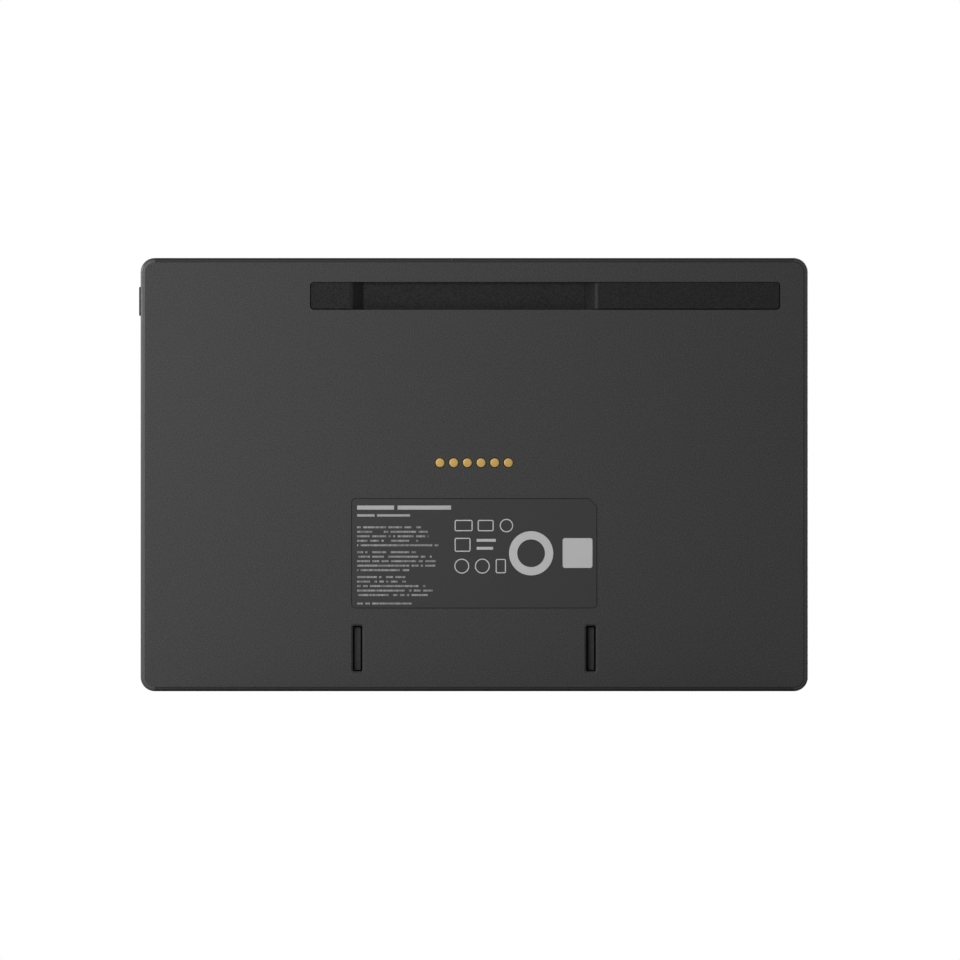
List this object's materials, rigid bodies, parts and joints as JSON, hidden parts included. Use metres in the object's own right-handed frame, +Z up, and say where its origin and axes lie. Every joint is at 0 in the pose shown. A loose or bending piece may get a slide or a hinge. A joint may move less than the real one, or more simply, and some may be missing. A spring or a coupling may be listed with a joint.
{
  "type": "smart energy monitor",
  "caption": "Flat in-home energy monitor display that docks on a wall bracket: rear hook trough, bracket slots, contact row, side button and glass front.",
  "frame": {"origin": "centre of the flat back face", "axes": "+X along the width, towards the side key; +Y out of the back face, away from the screen; +Z up"},
  "size_m": [0.2606, 0.015, 0.1688],
  "materials": {
    "rear_shell": "fine moulded grain",
    "trough": "fine moulded grain",
    "slot_cup": "smooth, dark",
    "pad_rubber": "soft, dull",
    "film": "smooth satin film",
    "gold": "gold plated",
    "black_plastic": "moulded",
    "board": "solder mask",
    "flex": "amber film",
    "screw_steel": "zinc plated",
    "brass": "turned",
    "key_plastic": "satin",
    "bright_steel": "stamped sheet",
    "mesh_grey": "woven mesh",
    "cone_rubber": "soft cone",
    "foam": "foam",
    "frame_plastic": "fine moulded grain",
    "screen_glass": "polished, dark behind",
    "tape": "adhesive tape",
    "panel_glass": "panel",
    "film_white": "diffusing sheet",
    "guide_clear": "clear sheet",
    "lamp_white": "lamps on a strip",
    "plate_steel": "stamped sheet",
    "heat_grey": "soft sheet",
    "socket_plastic": "moulded",
    "pouch": "foil pouch",
    "lead_black": "insulated wire",
    "copper_foil": "copper foil"
  },
  "bodies": {
    "housing": {"antenna_leads": "lead_black", "antennas": "copper_foil", "backlight_tray": "bright_steel", "battery_circuit": "board", "battery_lead": "lead_black", "battery_pack": "pouch", "battery_tape": "tape", "board_screws": "screw_steel", "board_sockets": "socket_plastic", "chassis_plate": "plate_steel", "chassis_screws": "screw_steel", "contact_board": "board", "contact_carrier": "black_plastic", "contact_flex": "flex", "contact_pads": "gold", "cushion_strips": "foam", "display_cable": "flex", "driver_board": "board", "front_frame": "frame_plastic", "front_glass": "screen_glass", "glass_tape": "tape", "heat_sheet": "heat_grey", "hook_rail": "trough", "key_board": "board", "key_bracket": "bright_steel", "key_switch": "black_plastic", "label_film": "film", "lcd_flex": "flex", "lcd_panel": "panel_glass", "led_bar": "lamp_white", "light_guide": "guide_clear", "main_board": "board", "mic_board": "board", "mic_boots": "pad_rubber", "mic_meshes": "mesh_grey", "microphones": "bright_steel", "optical_films": "film_white", "rear_cover": "rear_shell", "reflector_sheet": "film_white", "shield_cans": "bright_steel", "slot_liners": "slot_cup", "slot_pads": "pad_rubber", "small_screws": "screw_steel", "speaker_box": "black_plastic", "speaker_cone": "cone_rubber", "speaker_gasket": "foam", "threaded_inserts": "brass"},
    "key": {"side_key": "key_plastic", "switch_plunger": "black_plastic"}
  },
  "joints": [
    {"name": "key_press", "type": "slide", "parent": "housing", "child": "key", "axis": [-1, 0, 0], "range_m": [0, 0.0003], "stiffness_N_per_m": 2000}
  ]
}
